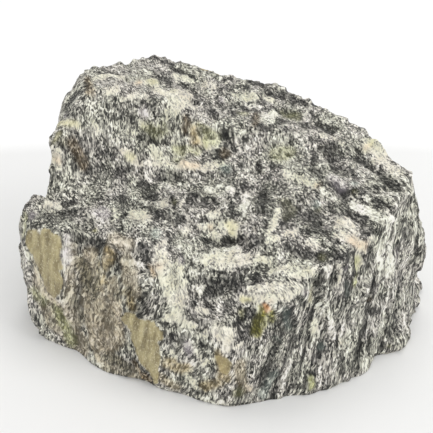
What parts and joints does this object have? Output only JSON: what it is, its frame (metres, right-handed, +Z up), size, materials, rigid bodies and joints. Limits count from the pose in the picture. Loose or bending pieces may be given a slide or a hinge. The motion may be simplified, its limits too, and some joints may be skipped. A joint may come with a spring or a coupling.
{
  "type": "aquascaping rock",
  "caption": "Broken block of banded grey gneiss with a low front ledge and a taller back crest, flat underneath, for building the hardscape of an aquarium or terrarium.",
  "frame": {"origin": "under the middle of the stone, on the surface that it rests on", "axes": "+X to the right along the length of the stone, +Y from the low front ledge to the tall back crest, +Z up"},
  "size_m": [0.2002, 0.1608, 0.1079],
  "materials": {
    "gneiss": "raw broken gneiss, matt, black and white speckle in layers with pale feldspar lenses and tan mica-coated breaks"
  },
  "bodies": {
    "root": {"rock": "gneiss"}
  },
  "joints": []
}
